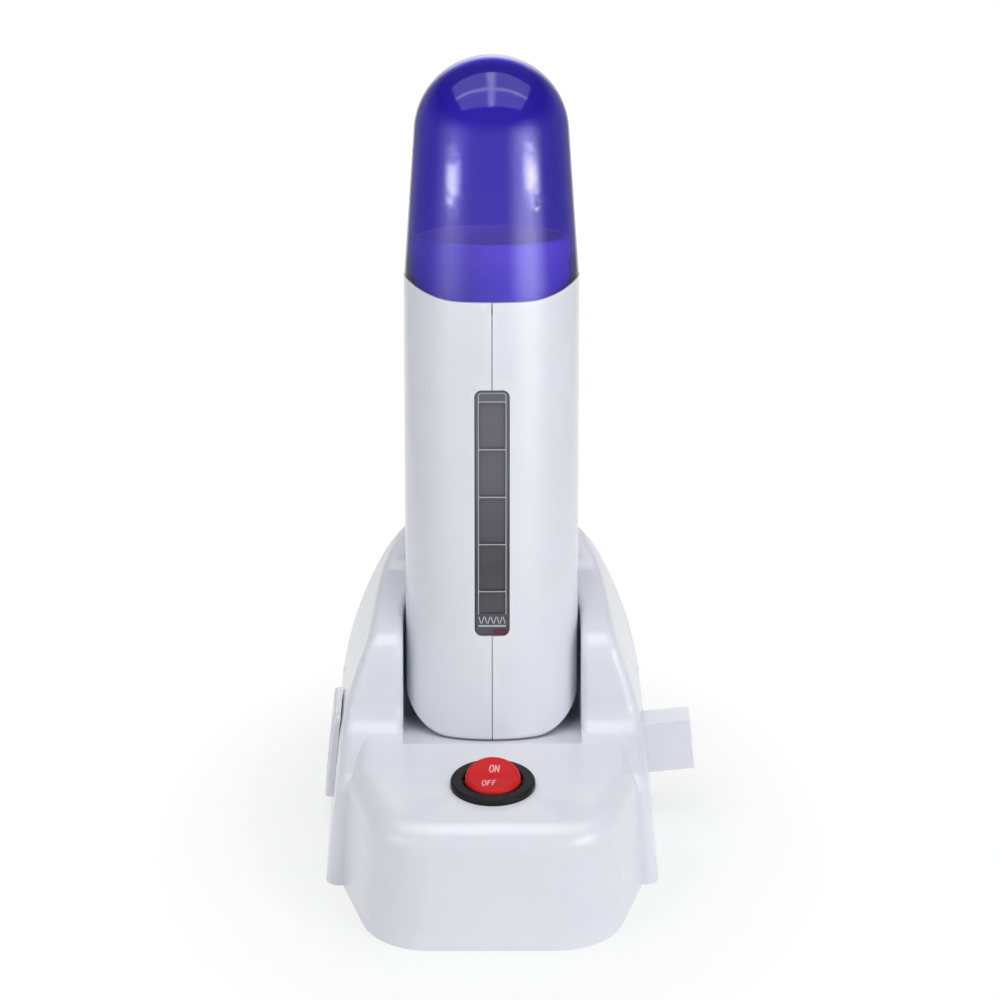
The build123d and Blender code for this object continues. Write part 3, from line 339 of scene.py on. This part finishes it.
def moulded(name, colour, rough, spread, grain, scratch, coat=0.0, wear=0.0, spark=False):
    """Injection-moulded plastic: a faint flow mottle, dust, a grain, hair scratches and rubbed edges.

    The roughness varies by spread either way, and the scratches add to it. The grain, in metres, is a fine
    orange peel, or a spark texture. Only a plastic with some wear has rubbed edges.
    """
    look = Finish(name)
    flow = look.noise(scale=38, detail=4, rough=0.6)
    dust = look.noise(scale=520, detail=2, rough=0.7)
    dust = look.value_range(dust, 0, 0.10, from_low=0.55, from_high=0.85)
    look.base = look.mottled(flow, colour, dark=0.975, light=1.02)
    look.base = look.mix(dust, look.base, tinted(colour, 0.80))
    if wear:
        corner = look.add("ShaderNodeNewGeometry").outputs["Pointiness"]
        rubbed = look.value_range(corner, 0, wear, from_low=0.52, from_high=0.62)
        look.base = look.mix(rubbed, look.base, tinted(colour, 1.25))
    look.set(Base_Color=look.base)

    fine = look.noise(scale=260, detail=3, rough=0.6)
    hair = look.noise(scale=70, detail=6, rough=0.75, vector=look.stretched((1.0, 9.0, 34.0)))
    uneven = look.value_range(fine, rough - spread, rough + spread)
    scratches = look.value_range(hair, 0, scratch, from_low=0.5, from_high=0.8)
    look.set(Roughness=look.math("ADD", uneven, scratches), IOR=1.5)
    if spark:
        look.roughen(look.noise(scale=2600, detail=3, rough=0.7), grain, strength=0.9)
    else:
        look.roughen(look.noise(scale=900, detail=2, rough=0.5), grain, strength=0.6)
    if coat:
        look.set(Coat_Weight=coat, Coat_Roughness=0.04)
    return look


def textured(name, colour, rough, grain):
    """Moulded plastic with a spark texture."""
    return moulded(name, colour, rough, spread=0.08, grain=grain, scratch=0.06, spark=True)


def metal(name, colour, rough, stretch=(1, 1, 30), tarnish=(0.25, 0.17, 0.10), amount=0.25):
    """Drawn or turned metal with brush lines and a little tarnish."""
    look = Finish(name)
    lines = look.noise(scale=420, detail=4, rough=0.7, vector=look.stretched(stretch))
    stain = look.noise(scale=120, detail=5, rough=0.65)
    brushed = look.mottled(lines, colour, dark=0.88, light=1.06)
    dulled = look.value_range(stain, 0, amount, from_low=0.5, from_high=0.8)
    look.set(Base_Color=look.mix(dulled, brushed, tarnish), Metallic=1.0)
    uneven = look.value_range(lines, rough - 0.06, rough + 0.08)
    look.set(Roughness=look.math("ADD", uneven, look.value_range(stain, 0, 0.12)))
    look.roughen(lines, 0.02 * MM, strength=0.5)
    return look


def white_shell():
    look = moulded("white_shell", (0.765, 0.785, 0.855), 0.24, 0.03, 0.012 * MM, 0.03, coat=0.2, wear=0.25)
    look.set(Subsurface_Weight=0.04, Subsurface_Scale=1 * MM)
    return look


def cap_violet():
    """Clear violet plastic, with dye inside it."""
    look = moulded("cap_violet", (0.42, 0.32, 0.93), 0.05, 0.01, 0.006 * MM, 0.01)
    look.set(Transmission_Weight=1.0)
    look.let_light_through((1.22, 1.22, 1.43))
    look.absorb((0.20, 0.0, 0.68), density=870)
    return look


def window_smoke():
    """Smoky plastic that is darkest about a quarter of the way up the window."""
    look = moulded("window_smoke", (0.172, 0.168, 0.202), 0.12, 0.03, 0.008 * MM, 0.04)
    up = look.value_range(look.split(look.object_coord)["Z"], 0, 1, *WINDOW_HEIGHTS)
    tone = look.ramp(up, ((0.10, 0.56), (0.27, 0.42), (0.47, 0.70), (0.67, 0.93), (0.88, 1.0)))
    look.set(Base_Color=look.mix(1.0, look.base, tone, "MULTIPLY"), Transmission_Weight=0.30)
    return look


def indicator_dark():
    look = moulded("indicator_dark", (0.13, 0.014, 0.040), 0.16, 0.04, 0.01 * MM, 0.05)
    look.set(Transmission_Weight=0.3)
    return look


def lamp_red():
    look = moulded("lamp_red", (0.60, 0.02, 0.02), 0.15, 0.03, 0.01 * MM, 0.03)
    look.set(Transmission_Weight=0.4)
    return look


def rocker_red():
    look = moulded("rocker_red", (0.60, 0.012, 0.014), 0.36, 0.05, 0.015 * MM, 0.08, wear=0.3)
    look.set(Specular_IOR_Level=0.22)
    return look


def switch_black():
    look = moulded("switch_black", (0.014, 0.014, 0.016), 0.40, 0.06, 0.03 * MM, 0.08, wear=0.2)
    look.set(Specular_IOR_Level=0.15)
    return look


def pad_rubber():
    look = Finish("pad_rubber")
    speck = look.noise(scale=1500, detail=4, rough=0.7)
    look.set(Base_Color=look.ramp(speck, ((0.3, (0.34, 0.35, 0.36)), (0.7, (0.46, 0.47, 0.48)))))
    look.set(Roughness=look.value_range(speck, 0.75, 0.95))
    look.roughen(speck, 0.1 * MM)
    return look


def well_aluminium():
    return metal("well_aluminium", (0.80, 0.81, 0.82), 0.34, (1, 1, 40), (0.45, 0.44, 0.42), 0.15)


SPECIAL = (white_shell, cap_violet, window_smoke, indicator_dark, lamp_red, rocker_red, switch_black,
           pad_rubber, well_aluminium)

# Moulded plastics: colour, roughness, its spread, grain and scratches
PLAIN = {
    # neck_painted_light: the same white plastic as the shells, painted brighter as painted light on the
    # neck under the cap
    "neck_painted_light": ((0.95, 0.95, 0.96), 0.45, 0.03, 0.012 * MM, 0.03),
    "line_grey": ((0.46, 0.46, 0.50), 0.25, 0.05, 0.01 * MM, 0.05),
    "letter_pink": ((0.86, 0.42, 0.44), 0.45, 0.06, 0.02 * MM, 0.08),
    "board_green": ((0.025, 0.14, 0.05), 0.35, 0.06, 0.02 * MM, 0.05),
    "resistor_tan": ((0.45, 0.32, 0.17), 0.4, 0.08, 0.03 * MM, 0.05),
    "lead_brown": ((0.09, 0.035, 0.015), 0.5, 0.08, 0.03 * MM, 0.05),
    "lead_blue": ((0.02, 0.07, 0.28), 0.5, 0.08, 0.03 * MM, 0.05),
}

# Plastics and ceramic with a spark texture: colour, roughness and grain
TEXTURED = {
    "plate_white": ((0.70, 0.71, 0.745), 0.55, 0.06 * MM),
    "ceramic": ((0.62, 0.58, 0.50), 0.62, 0.08 * MM),
    "black_resin": ((0.022, 0.022, 0.024), 0.42, 0.04 * MM),
}

# Metals: colour and roughness
METALS = {
    "steel": ((0.60, 0.60, 0.62), 0.28),
    "brass": ((0.83, 0.60, 0.28), 0.22),
}

# Painted light: the neck under the cap is the shells' white plastic painted brighter than the shells that
# share its slot, standing in for the light that reaches it through the cap
PAINTED_LIGHT_NODES = {"neck_collar": "neck_painted_light"}

MATERIALS = {}


def make_materials():
    looks = [make() for make in SPECIAL]
    looks += [moulded(name, *values) for name, values in PLAIN.items()]
    looks += [textured(name, *values) for name, values in TEXTURED.items()]
    looks += [metal(name, *values) for name, values in METALS.items()]
    for look in looks:
        MATERIALS[look.name] = look.material


def paint_nodes():
    """Each CAD node takes the material of its slot in the record, or the material listed for it in
    PAINTED_LIGHT_NODES.
    """
    for part in frame["record"]["subparts"]:
        mesh = frame["nodes"][part["node"]].data
        mesh.materials.clear()
        finish = PAINTED_LIGHT_NODES.get(part["node"], part["material_slot"])
        mesh.materials.append(MATERIALS[finish])


# ------------------------------------------------------------------ shapes of the added pieces


def on_lens(point, rise):
    """The place in space of a point to the right and up the column on the window's face."""
    return COLUMN_FOOT + COLUMN_RIGHT * point.x + COLUMN_UP * point.y + COLUMN_FRONT * (LENS_FACE + rise)


def on_rocker():
    """A function like on_lens, for points to the right and to the rear on the rocker's dished top."""
    mesh = frame["nodes"]["rocker"].data
    surface = BVHTree.FromPolygons([v.co for v in mesh.vertices], [p.vertices for p in mesh.polygons])

    def place(point, rise):
        above = ROCKER_CENTRE + COLUMN_RIGHT * point.x + ROCKER_REAR * point.y + ROCKER_UP * ABOVE_ROCKER
        hit, normal, _, _ = surface.ray_cast(above, -ROCKER_UP)
        return hit + normal * rise

    return place


def bent(corners, radius, steps=6):
    """An open line whose inner corners are rounded."""
    corners = [Vector(corner) for corner in corners]
    line = [corners[0]]
    for before, corner, after in zip(corners, corners[1:], corners[2:]):
        start = corner + (before - corner).normalized() * radius
        end = corner + (after - corner).normalized() * radius
        for i in range(steps + 1):
            t = i / steps
            line.append(start * (1 - t) ** 2 + corner * (2 * t * (1 - t)) + end * t ** 2)
    line.append(corners[-1])
    return line


def divided(start, end, step):
    """The straight line from start to end, with a point at least every step."""
    count = max(1, math.ceil((end - start).length / step))
    return [start] + [start.lerp(end, i / count) for i in range(1, count + 1)]


def join_rings(bm, rings):
    """Faces between each ring of vertices and the next."""
    for first, second in zip(rings, rings[1:]):
        for j in range(len(first)):
            k = (j + 1) % len(first)
            bm.faces.new((first[j], first[k], second[k], second[j]))


def close_ends(bm, rings):
    """Faces over the first ring and the last."""
    bm.faces.new(rings[0])
    bm.faces.new(rings[-1][::-1])


def bead(bm, line, width, rise, place, closed=False):
    """A bevelled raised line; place turns a flat point and a rise into a point in space."""
    rings = []
    count = len(line)
    for i, point in enumerate(line):
        before = line[i - 1] if i or closed else point
        after = line[(i + 1) % count] if i < count - 1 or closed else point
        along = (after - before).normalized()
        side = Vector((along.y, -along.x)) * width / 2
        rings.append([bm.verts.new(place(point + side * across, rise * up)) for across, up in BEAD])
    if closed:
        join_rings(bm, rings + rings[:1])
    else:
        join_rings(bm, rings)
        close_ends(bm, rings)


def slab(bm, outline, inset, rise, place):
    """A low pad with a bevelled edge; the outline runs round a convex shape."""
    middle = sum(outline, Vector((0, 0))) / len(outline)
    rings = []
    for pull, up in SLAB:
        moved = [point + (middle - point).normalized() * (pull * inset) for point in outline]
        rings.append([bm.verts.new(place(point, rise * up)) for point in moved])
    join_rings(bm, rings)
    close_ends(bm, rings)


def piece(name, bm, material, body):
    """A finished mesh piece that rides on a body."""
    bmesh.ops.recalc_face_normals(bm, faces=bm.faces[:])
    mesh = bpy.data.meshes.new(name)
    bm.to_mesh(mesh)
    bm.free()
    mesh.materials.append(MATERIALS[material])
    obj = bpy.data.objects.new(name, mesh)
    bpy.context.collection.objects.link(obj)
    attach(obj, body)


# ------------------------------------------------------------------ the added pieces


def make_window_lines():
    """Fine raised lines round and between the window's panes."""
    bm = bmesh.new()
    left = [(RAIL_LEFT, RAIL_LOW), (RAIL_LEFT, RAIL_HIGH)]
    right = [(RAIL_RIGHT, RAIL_HIGH), (RAIL_RIGHT, RAIL_LOW)]
    bead(bm, bent(left + right, RAIL_CORNER), LINE_WIDTH, RAIL_RISE, on_lens)
    for i in range(RUNG_COUNT):
        up = RUNG_TOP - i * RUNG_STEP
        ends = [Vector((RAIL_LEFT, up)), Vector((RAIL_RIGHT, up))]
        bead(bm, ends, LINE_WIDTH, RUNG_RISE, on_lens)
    piece("window_lines", bm, "line_grey", "handpiece")


def make_window_hatch():
    """A band of strokes under the lowest pane that slant by turns, with a line under them."""
    bm = bmesh.new()
    for i in range(HATCH_COUNT):
        x = HATCH_START + i * HATCH_STEP
        lean = HATCH_SLANT / 2 * (1 if i % 2 else -1)
        ends = [Vector((x - lean, HATCH_LOW)), Vector((x + lean, HATCH_HIGH))]
        bead(bm, ends, HATCH_WIDTH, HATCH_RISE, on_lens)
    underline = [Vector((RAIL_LEFT, UNDERLINE_UP)), Vector((RAIL_RIGHT, UNDERLINE_UP))]
    bead(bm, underline, UNDERLINE_WIDTH, UNDERLINE_RISE, on_lens)
    piece("window_hatch", bm, "line_grey", "handpiece")


def make_indicator_patch():
    """The red corner of the window, in front of the indicator lamp."""
    bm = bmesh.new()
    top = (PATCH_MIDDLE, PATCH_HIGH)
    right = [(PATCH_RIGHT, PATCH_HIGH), (PATCH_RIGHT, PATCH_LOW)]
    left = [(PATCH_LEFT, PATCH_LOW), (PATCH_LEFT, PATCH_HIGH)]
    outline = bent([top, *right, *left, top], PATCH_CORNER)
    slab(bm, outline[:-1], PATCH_INSET, PATCH_RISE, on_lens)
    piece("indicator_patch", bm, "indicator_dark", "handpiece")


def make_lettering():
    """ON at the rear and OFF at the front of the rocker's top."""
    place = on_rocker()
    bm = bmesh.new()

    def letter(kind, x, y, width, height):
        def at(u, v):
            return Vector((x + u * width + LETTER_SLANT * v * height, y + v * height))

        if kind in STROKES:
            for start, end in STROKES[kind]:
                line = divided(at(*start), at(*end), STROKE_STEP)
                bead(bm, line, STROKE_WIDTH, STROKE_RISE, place)
        else:
            turns = [2 * math.pi * i / OVAL_STEPS for i in range(OVAL_STEPS)]
            ring = [at(0.5 * math.cos(turn), 0.5 * math.sin(turn)) for turn in turns]
            bead(bm, ring, STROKE_WIDTH, STROKE_RISE, place, closed=True)

    for y, height, letters in WORDS:
        for kind, x, width in letters:
            letter(kind, x * MM, y * MM, width * MM, height * MM)
    piece("rocker_lettering", bm, "letter_pink", "rocker")


# ------------------------------------------------------------------ camera, stage and light


def make_camera():
    """The camera looks at CAMERA_TARGET from the front and above."""
    data = bpy.data.cameras.new("camera")
    data.sensor_width = SENSOR_MM
    data.lens = FOCAL_PX / PHOTO_PX * SENSOR_MM
    data.clip_start = CAMERA_NEAR
    data.clip_end = CAMERA_FAR
    camera = bpy.data.objects.new("camera", data)
    bpy.context.collection.objects.link(camera)
    forward = Vector((
        math.sin(CAMERA_AZIMUTH) * math.cos(CAMERA_ELEVATION),
        math.cos(CAMERA_AZIMUTH) * math.cos(CAMERA_ELEVATION),
        -math.sin(CAMERA_ELEVATION),
    ))
    right = Vector((math.cos(CAMERA_AZIMUTH), -math.sin(CAMERA_AZIMUTH), 0))
    up = right.cross(forward)
    roll = Matrix.Rotation(-CAMERA_ROLL, 3, forward)
    basis = Matrix((roll @ right, roll @ up, -forward)).transposed()
    camera.matrix_world = Matrix.Translation(CAMERA_TARGET - forward * CAMERA_DISTANCE) @ basis.to_4x4()
    bpy.context.scene.camera = camera


def stage_sheet(name, corners):
    """A flat sheet with four corners that isn't part of the object."""
    mesh = bpy.data.meshes.new(name)
    mesh.from_pydata(corners, [], [(0, 1, 2, 3)])
    sheet = bpy.data.objects.new(name, mesh)
    bpy.context.collection.objects.link(sheet)
    return sheet


def make_floor():
    """A pale floor that keeps the object's soft shadow and fades to white away from it."""
    half = FLOOR_HALF
    floor = stage_sheet("floor", [(-half, -half, 0), (half, -half, 0), (half, half, 0), (-half, half, 0)])
    look = Finish("floor")
    look.set(Base_Color=look.ramp(look.noise(scale=3, detail=2), ((0.3, 0.93), (0.7, 0.95))))
    look.set(Roughness=0.9, IOR=1.2)
    glow = look.add("ShaderNodeEmission")
    look.feed(glow.inputs["Color"], (1, 1, 1))
    look.feed(glow.inputs["Strength"], 1.0)
    distance = look.add("ShaderNodeVectorMath", operation="LENGTH")
    look.link(look.stretched(FLOOR_STRETCH), distance.inputs[0])
    share = look.value_range(distance.outputs["Value"], FLOOR_SHARE, 1.0, *FLOOR_FADE)
    seen = look.rays("Is Camera Ray", "Is Glossy Ray", "Is Transmission Ray")
    glowing = look.math("MULTIPLY", seen, share)
    look.surface(look.mix_shaders(glowing, look.shader.outputs["BSDF"], glow.outputs["Emission"]))
    floor.data.materials.append(look.material)


def make_room():
    """White to the camera and, near the horizon, in reflections; its light on the object is weaker."""
    world = bpy.data.worlds.new("room")
    bpy.context.scene.world = world
    world.use_nodes = True
    room = Tree(world.node_tree)
    up = room.split(room.add("ShaderNodeTexCoord").outputs["Generated"])["Z"]
    mirrored = room.rays("Is Glossy Ray", "Is Transmission Ray")
    level = room.choose(mirrored, ROOM_LIGHT, room.value_range(up, 1.0, ROOM_LIGHT, *HORIZON))
    level = room.choose(room.rays("Is Camera Ray"), level, 1.0)
    background = room.tree.nodes["Background"]
    room.feed(background.inputs["Color"], (1, 1, 1))
    room.feed(background.inputs["Strength"], level)


def make_card(name, side):
    """A dark card on one side, seen in reflections only: it darkens the edges of glossy pieces."""
    card = stage_sheet(name, [(0, y * CARD_HALF_D, z * CARD_HALF_H) for y, z in CARD_CORNERS])
    card.location = (side * CARD_PLACE.x, CARD_PLACE.y, CARD_PLACE.z)
    card.visible_camera = False
    card.visible_diffuse = False
    card.visible_transmission = False
    card.visible_volume_scatter = False
    card.visible_shadow = False

    look = Finish(name)
    look.set(Roughness=1.0, Specular_IOR_Level=0.0, Base_Color=(CARD_GREY, CARD_GREY, CARD_GREY))
    share = CARD_SHARE
    place = look.split(look.object_coord)
    for axis, half in (("Y", CARD_HALF_D), ("Z", CARD_HALF_H)):
        away = look.math("ABSOLUTE", place[axis])
        share = look.math("MULTIPLY", look.value_range(away, 1.0, 0.0, 0.5 * half, half), share)
    look.surface(look.mix_shaders(share, look.clear(), look.shader.outputs["BSDF"]))
    card.data.materials.append(look.material)


def softbox(name, place, aim, size, power, margin=0.5, cross=0.0, roll=0.0):
    """A rectangular softbox at place, facing aim; it is dimmer at its edges and can show a bright cross."""
    data = bpy.data.lights.new(name, "AREA")
    data.shape = "RECTANGLE"
    data.size, data.size_y = size
    data.energy = power
    data.use_nodes = True
    front = Tree(data.node_tree)
    across = front.split(front.add("ShaderNodeNewGeometry").outputs["Parametric"])
    edges = [front.soft_band(across[axis], 0.5 - margin, 0.5) for axis in "XY"]
    level = front.math("MULTIPLY", *edges)
    if cross:
        tubes = [front.soft_band(across[axis], 0.0, TUBE_HALF) for axis in "XY"]
        glow = front.math("MULTIPLY", front.math("MAXIMUM", *tubes), cross)
        level = front.math("MULTIPLY", level, front.math("ADD", glow, 1.0))
    front.feed(front.tree.nodes["Emission"].inputs["Strength"], level)

    lamp = bpy.data.objects.new(name, data)
    bpy.context.collection.objects.link(lamp)
    direction = Vector(aim) - Vector(place)
    turn = direction.to_track_quat("-Z", "Y") @ Quaternion((0, 0, 1), math.radians(roll))
    lamp.rotation_euler = turn.to_euler()
    lamp.location = place


# ------------------------------------------------------------------ the scene

make_camera()
make_materials()
paint_nodes()
make_window_lines()
make_window_hatch()
make_indicator_patch()
make_lettering()
make_floor()
make_room()
make_card("card_left", -1)
make_card("card_right", 1)
for lamp_name, settings in LAMPS.items():
    softbox(lamp_name, **settings)

bpy.context.scene.view_settings.view_transform = "Standard"
